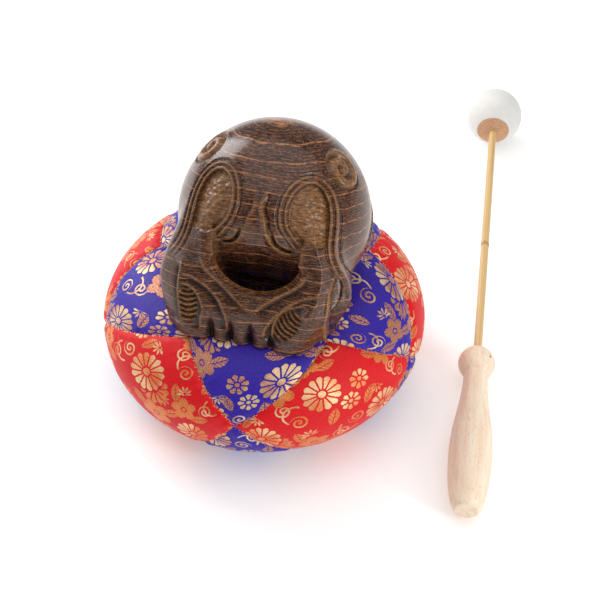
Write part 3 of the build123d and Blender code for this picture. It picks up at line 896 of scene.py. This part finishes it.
def cushion_wadding(material):
    """Cotton stuffing inside the cover."""
    rise = np.linspace(-math.pi / 2, math.pi / 2, WADDING_RINGS + 2)[1:-1]
    around = np.linspace(0, 2 * math.pi, WADDING_TURNS, endpoint=False)
    level, turn = np.meshgrid(rise, around, indexing="ij")
    out = np.cos(level)
    skin = cushion_skin(np.stack([out * np.cos(turn), out * np.sin(turn), np.sin(level)], axis=-1))
    inset = WADDING_INSET + WADDING_LUMP * np.sin(9 * turn + 5 * level) * np.cos(7 * level)
    skin *= (1 - inset / np.linalg.norm(skin, axis=-1))[..., None]
    points = skin.reshape(-1, 3) + [0, 0, EQUATOR_HEIGHT]
    rings = np.arange(WADDING_RINGS * WADDING_TURNS).reshape(WADDING_RINGS, WADDING_TURNS).tolist()
    faces = [rings[0][::-1], rings[-1]]
    for low, high in zip(rings, rings[1:]):
        for j in range(WADDING_TURNS):
            faces.append([low[j - 1], low[j], high[j], high[j - 1]])
    piece = new_piece("wadding", points, faces, material, "cushion", ["cushion_core"])


# Materials

GROWTH_NORMAL = (-0.04, 0.44, 0.90)
GROWTH_PITCH = 7.2
GROWTH_WANDER = 1.6


def fish_wood():
    """Dark stained and waxed wood with golden growth lines, lighter wood where it is carved, and grooves
    darkened partly by stain and partly by painted shade.
    """
    graph = Graph("stained_wood")
    place = graph.place()
    slow = graph.noise(graph.join(*place), 0.018, 2.0)
    rings = graph.along(place, GROWTH_NORMAL) / GROWTH_PITCH + GROWTH_WANDER * (slow - 0.5)
    fleck_place = graph.join(place[0] * 0.20, rings * 13.0, (place[1] * 0.8 - place[2] * 0.6) * 0.45)
    flecks = graph.noise(fleck_place, 1.0, 3.0, 0.6)
    pores = graph.noise(graph.join(place[0] * 0.5, rings * 28.0, place[1] - place[2]), 1.0, 2.0, 0.6)
    broken = flecks.between(0.42, 0.58)
    phase = (rings + (flecks - 0.5) * 0.10).fract()
    line = phase.between(0.84, 0.95) * (1 - phase.between(0.96, 1.0))
    fine_phase = (rings * 5.3 + (flecks - 0.5) * 0.9).fract()
    fine = fine_phase.between(0.62, 0.86) * (1 - fine_phase.between(0.9, 1.0))
    gold = line * (0.2 + 0.8 * broken) + fine * broken * 0.45
    base = graph.mix(flecks.between(0.32, 0.66), srgb(24, 12, 9), srgb(82, 48, 35))
    base = graph.mix(pores.between(0.54, 0.66) * 0.75, base, srgb(150, 98, 70))
    base = graph.mix((1 - pores.between(0.34, 0.46)) * 0.8, base, srgb(14, 7, 5))
    base = graph.mix(gold.least(1.0) * 0.95, base, srgb(178, 118, 72))
    bare = graph.attribute("bare_wood")
    cut = graph.mix(flecks.between(0.25, 0.75), srgb(104, 68, 40), srgb(182, 130, 80))
    cut = graph.mix((1 - pores.between(0.34, 0.46)) * 0.8, cut, srgb(30, 16, 9))
    # Grooves darker: partly stain gathered in the recesses, partly painted shade
    base = graph.mix(graph.attribute("groove") * 0.8, base, srgb(12, 6, 5))
    colour = graph.mix(bare * 0.85, base, cut)
    height = gold * 0.4 + flecks * 0.8 + pores * 0.4
    roughness = 0.13 + 0.15 * flecks + 0.05 * bare
    wax = {"specular_ior_level": 0.35, "coat_weight": 0.06, "coat_roughness": 0.1}
    return graph.finish(colour, roughness, normal=graph.bump(height, 0.06), **wax)


def beater_station(graph):
    """Distance along the beater from its butt, and the two distances square to its axis."""
    place = [part - at for part, at in zip(graph.place(), BUTT)]
    ahead = pointing(BEATER_HEADING, BEATER_SLOPE)
    side = Vector((math.sin(BEATER_HEADING), -math.cos(BEATER_HEADING), 0))
    return [graph.along(place, axis) for axis in (ahead, side, side.cross(ahead))]


def beech():
    """Pale pinkish beech with short ray flecks along the grain."""
    graph = Graph("beech")
    station, side, above = beater_station(graph)
    grain = graph.noise(graph.join(station * 0.02, side * 0.35, above * 0.35), 1.0, 3.0)
    dashes = graph.noise(graph.join(station * 0.30, side * 1.9, above * 1.9), 1.0, 2.0)
    fleck = dashes.between(0.60, 0.70)
    colour = graph.mix(grain.between(0.3, 0.7), srgb(252, 234, 210), srgb(245, 216, 189))
    colour = graph.mix(fleck * 0.5, colour, srgb(206, 156, 120))
    normal = graph.bump(grain * 0.6 + dashes * 0.5, 0.12)
    return graph.finish(colour, 0.48 + 0.1 * grain, normal=normal)


def bamboo():
    """Pale yellow split bamboo with long fibres and a darker node."""
    graph = Graph("bamboo")
    station, side, above = beater_station(graph)
    fibre = graph.noise(graph.join(station * 0.012, side * 2.4, above * 2.4), 1.0, 3.0)
    slow = graph.noise(graph.join(station * 0.03, side * 0.2, above * 0.2), 1.0, 2.0)
    node = 1 - abs(station - NODE_STATION).between(0.6, 2.2)
    colour = graph.mix(fibre.between(0.3, 0.7), srgb(206, 164, 98), srgb(234, 204, 148))
    colour = graph.mix(slow * 0.35, colour, srgb(196, 150, 88))
    colour = graph.mix(node * 0.6, colour, srgb(150, 104, 58))
    return graph.finish(colour, 0.34 + 0.15 * fibre, normal=graph.bump(fibre, 0.1), coat_weight=0.15)


def core_wood():
    """End grain of a turned wooden core."""
    graph = Graph("core_wood")
    station, side, above = beater_station(graph)
    reach = ((side - 3.0) * (side - 3.0) + (above + 2.0) * (above + 2.0)).power(0.5)
    speckle = graph.noise(graph.join(station * 0.8, side * 1.6, above * 1.6), 1.0, 3.0, 0.7)
    ring = (reach * 0.45 + speckle * 0.5).fract().between(0.7, 0.95)
    colour = graph.mix(speckle.between(0.35, 0.65), srgb(186, 138, 98), srgb(216, 174, 136))
    colour = graph.mix(ring * 0.4, colour, srgb(168, 118, 80))
    return graph.finish(colour, 0.55 + 0.1 * speckle, normal=graph.bump(speckle, 0.15))


def rubber():
    """Matte white rubber with a faint dusting."""
    graph = Graph("white_rubber")
    place = graph.join(*graph.place())
    dust = graph.noise(place, 0.25, 3.0)
    fine = graph.noise(place, 2.0, 2.0)
    colour = graph.mix(dust.between(0.3, 0.75), srgb(232, 231, 228), srgb(227, 226, 221))
    return graph.finish(colour, 0.5 + 0.15 * dust, normal=graph.bump(fine, 0.05))


def pin_steel():
    """Blackened steel brad."""
    graph = Graph("pin_steel")
    wear = graph.noise(graph.join(*graph.place()), 1.5, 2.0)
    colour = graph.mix(wear, srgb(44, 40, 38), srgb(96, 88, 82))
    return graph.finish(colour, 0.35 + 0.2 * wear, metallic=1.0)


def cotton():
    """Loose cotton stuffing."""
    graph = Graph("cotton")
    place = graph.join(*graph.place())
    tufts = graph.noise(place, 0.12, 4.0, 0.6)
    colour = graph.mix(tufts, srgb(214, 206, 192), srgb(244, 240, 230))
    return graph.finish(colour, 0.9, normal=graph.bump(tufts, 1.5))


# Brocade: motifs as signed distances in a repeating cell, in millimetres, positive inside

CELL_WIDTH = 62.0
CELL_HEIGHT = 54.0


class Motif:
    """Places in the cell seen from one motif's middle."""

    def __init__(self, graph, place, spot):
        self.graph = graph
        middle, level, turn = spot
        across = graph.math("WRAP", place[0] - middle, CELL_WIDTH / 2, -CELL_WIDTH / 2)
        up = graph.math("WRAP", place[1] - level, CELL_HEIGHT / 2, -CELL_HEIGHT / 2)
        self.across, self.up = turned(across, up, math.radians(turn))
        self.reach = (self.across * self.across + self.up * self.up).power(0.5)

    def heading(self):
        """Turn about the middle, in whole turns."""
        return self.graph.math("ARCTAN2", self.up, self.across) * (0.5 / math.pi)

    def rosette(self, radius, petals, core):
        """Round flower of club-shaped petals round a button."""
        part = abs((self.heading() * petals).fract() - 0.5)
        spacing = 2 * math.pi / petals
        sideways = part * self.reach * spacing
        between = (0.5 - part) * self.reach * spacing - 0.42
        tip = radius - self.reach - sideways * sideways * (0.30 * petals / radius)
        petal = between.least(tip).least(self.reach - core - 0.9)
        return petal.most(core - self.reach)

    def blossom(self, radius):
        """Five broad petals with fine lines, and a button."""
        turn = self.heading() * 5
        part = abs(turn.fract() - 0.5)
        outline = radius * 0.98 - self.reach - part * part * radius * 1.5
        lines = abs((turn * 5).fract() - 0.5) * self.reach * 0.25 - 0.16
        inner = (radius * 0.62 - self.reach).most(lines)
        petal = outline.least(self.reach - 1.9).least(inner.most(radius * 0.86 - self.reach + lines * 4))
        return petal.most(1.2 - self.reach)

    def leaf(self, length, width):
        """Pointed leaf with a midrib and side veins."""
        share = self.across * (2 / length)
        outline = (1 - share * share) * (width / 2) - abs(self.up)
        midrib = abs(self.up) - 0.22
        vein = (self.across * 0.42 - abs(self.up) * 0.5).fract()
        veins = abs(vein - 0.5) * 2.2 - 0.18
        return outline.least(midrib).least(veins)

    def scroll(self, radius, pitch, hand):
        """Spiral tendril."""
        phase = self.reach / pitch - self.heading() * hand
        line = 0.52 - abs(phase.fract() - 0.5) * pitch
        return line.least(radius - self.reach)

    def stem(self, radius, half_width):
        """Half ring."""
        return (half_width - abs(self.reach - radius)).least(self.up)

    def sprig(self, radius, leaflets):
        """Fan of leaflets."""
        part = abs((self.heading() * leaflets).fract() - 0.5)
        between = (0.30 - part) * self.reach * (2 * math.pi / leaflets)
        leaflet = between.least(radius - self.reach - part * radius).least(self.reach - 0.8)
        return leaflet.least(self.up + 1.0)


# Each kind of figure has its sizes, and its places in the cell with its turn there in degrees
FRONT_ROSETTE_PLACE = (14, 14, 8)
FRONT_ROSETTE_CLEARANCE = 11.4
PALE_FIGURES = (
    (Motif.rosette, (10.6, 14, 2.1), [FRONT_ROSETTE_PLACE]),
    (Motif.rosette, (9.8, 13, 2.0), [(45, 40, 20)]),
    (Motif.rosette, (5.6, 8, 1.2), [(3, 40, 0)]),
    (Motif.rosette, (5.2, 8, 1.1), [(58, 30, 12)]),
    (Motif.scroll, (4.4, 2.6, 1), [(33, 26, 40), (53, 8, 110)]),
    (Motif.scroll, (4.4, 2.6, -1), [(26, 35, 200), (60, 17, 300)]),
    (Motif.stem, (5.6, 0.5), [(31, 31, 60), (57, 12, 140)]),
    (Motif.sprig, (4.6, 9), [(38, 15, 30), (12, 30, 150), (27, 5, 250)]),
)
SHADED_FIGURES = (
    (Motif.blossom, (8.6,), [(24, 46, 15)]),
    (Motif.blossom, (7.6,), [(40, 5, 70)]),
    (Motif.leaf, (11.5, 5.4), [(14, 50, 150), (33, 52, 35), (49, 24, 75)]),
    (Motif.leaf, (11.5, 5.4), [(50, 1, 10), (33, 13, 110), (6, 28, 60)]),
)
HIDDEN_FIGURES = ((Motif.rosette, (9.0, 12, 1.8), [(21, 8, 0)]),)


def figures(graph, place, kinds):
    """Signed distance to the nearest of many figures."""
    shapes = [kind(Motif(graph, place, spot), *sizes) for kind, sizes, spots in kinds for spot in spots]
    return reduce(Field.most, shapes)


def brocade(name, ground, ground_shade, shaded_thread):
    """Silk brocade: a satin ground with pale gold and copper figures."""
    graph = Graph(name)
    across, up, _ = graph.split(graph.node("ShaderNodeUVMap", {}, uv_map="weave"))
    flat = graph.join(across, up, 0.0)
    wobble = graph.noise(flat, 0.5, 2.0)
    place = [across + (wobble - 0.5) * 0.5, up + (wobble - 0.5) * 0.4]
    pale = figures(graph, place, PALE_FIGURES)
    beyond = Motif(graph, place, FRONT_ROSETTE_PLACE).reach - FRONT_ROSETTE_CLEARANCE
    hidden = figures(graph, place, HIDDEN_FIGURES).least(beyond)
    shaded = figures(graph, place, SHADED_FIGURES).most(hidden)
    weave = graph.noise(graph.join(across * 2.6, up * 1.1, 0.0), 1.0, 1.0)
    grain = (weave - 0.5) * 0.35
    pale_share = (pale + grain).between(-0.10, 0.14)
    shaded_share = (shaded + grain).between(-0.10, 0.14) * (1 - pale_share)
    tone = graph.noise(flat, 0.055, 1.0).between(0.40, 0.60)
    colour = graph.mix(weave.between(0.25, 0.75), ground_shade, ground)
    copper = graph.mix(weave.between(0.3, 0.7), shaded_thread, srgb(230, 158, 92))
    cream = graph.mix(weave.between(0.3, 0.8), srgb(238, 196, 134), srgb(255, 238, 200))
    figure = graph.mix(0.25 + 0.75 * tone, cream, copper)
    colour = graph.mix(pale_share, colour, figure)
    colour = graph.mix(shaded_share, colour, copper)
    seam = graph.attribute("seam_distance")
    specks = graph.noise(flat, 1.1, 1.0).between(0.60, 0.66) * (1 - seam.between(0.5, 1.0))
    colour = graph.mix(specks, colour, srgb(250, 226, 184))
    gilt = pale_share.most(shaded_share)
    height = weave * 0.5 + gilt * 0.7
    roughness = 0.52 - 0.14 * gilt
    normal = graph.bump(height, 0.2)
    return graph.finish(colour, roughness, normal=normal, metallic=gilt * 0.35, specular_ior_level=0.3)


# Pieces

sculpt_fish(fish_wood())
red_cloth = brocade("red_brocade", srgb(244, 12, 24), srgb(196, 2, 16), srgb(222, 90, 40))
violet_cloth = brocade("violet_brocade", srgb(62, 36, 186), srgb(34, 17, 124), srgb(132, 84, 104))
for k in range(PATCH_COUNT):
    cushion_patch("top", k, violet_cloth)
    cushion_patch("side", k, red_cloth)
    cushion_patch("bottom", k, violet_cloth)
cushion_wadding(cotton())

for node, material in (
    ("beater_handle", beech()),
    ("beater_shaft", bamboo()),
    ("head_core", core_wood()),
    ("head_ball", rubber()),
    ("shaft_pin", pin_steel()),
):
    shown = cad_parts[node]
    shown.data.materials.clear()
    shown.data.materials.append(material)


# Stage: a white floor in a white room, with soft light from both sides and above


def white_floor():
    graph = Graph("white_floor")
    speckle = graph.noise(graph.join(*graph.place()), 0.01, 1.0)
    colour = graph.mix(speckle, srgb(252, 252, 252), srgb(249, 249, 250))
    mesh = bpy.data.meshes.new("floor")
    half = FLOOR_HALF_SIZE
    corners = [(-half, -half, 0), (half, -half, 0), (half, half, 0), (-half, half, 0)]
    mesh.from_pydata(corners, [], [(0, 1, 2, 3)])
    mesh.materials.append(graph.finish(colour, 0.6, emission_color=WHITE, emission_strength=FLOOR_GLOW))
    floor = add_object("floor", mesh)
    floor.location.z = FLOOR_LEVEL


def white_room():
    world = bpy.data.worlds.new("white_room")
    world.use_nodes = True
    background = world.node_tree.nodes["Background"]
    background.inputs["Color"].default_value = WHITE
    background.inputs["Strength"].default_value = ROOM_STRENGTH
    bpy.context.scene.world = world


def aim(thing, place, direction):
    """Put a lamp or a camera at a place, looking in a direction."""
    thing.location = place
    thing.rotation_mode = "QUATERNION"
    thing.rotation_quaternion = direction.to_track_quat("-Z", "Y")


def soft_light(name, place, target, size, watts):
    """Softbox of a width and a height at a place, turned to a target."""
    data = bpy.data.lights.new(name, "AREA")
    data.shape = "RECTANGLE"
    data.size, data.size_y = size
    data.energy = watts
    aim(add_object(name, data), place, Vector(target) - Vector(place))


def photo_camera():
    data = bpy.data.cameras.new("photo_camera")
    data.lens = CAMERA_LENS
    data.sensor_width = CAMERA_SENSOR
    camera = add_object("photo_camera", data)
    aim(camera, CAMERA_PLACE, -pointing(CAMERA_HEADING, CAMERA_ELEVATION))
    bpy.context.scene.camera = camera


white_floor()
white_room()
for light in LIGHTS:
    soft_light(*light)
photo_camera()
bpy.context.scene.view_settings.view_transform = "Standard"

bpy.context.view_layer.update()
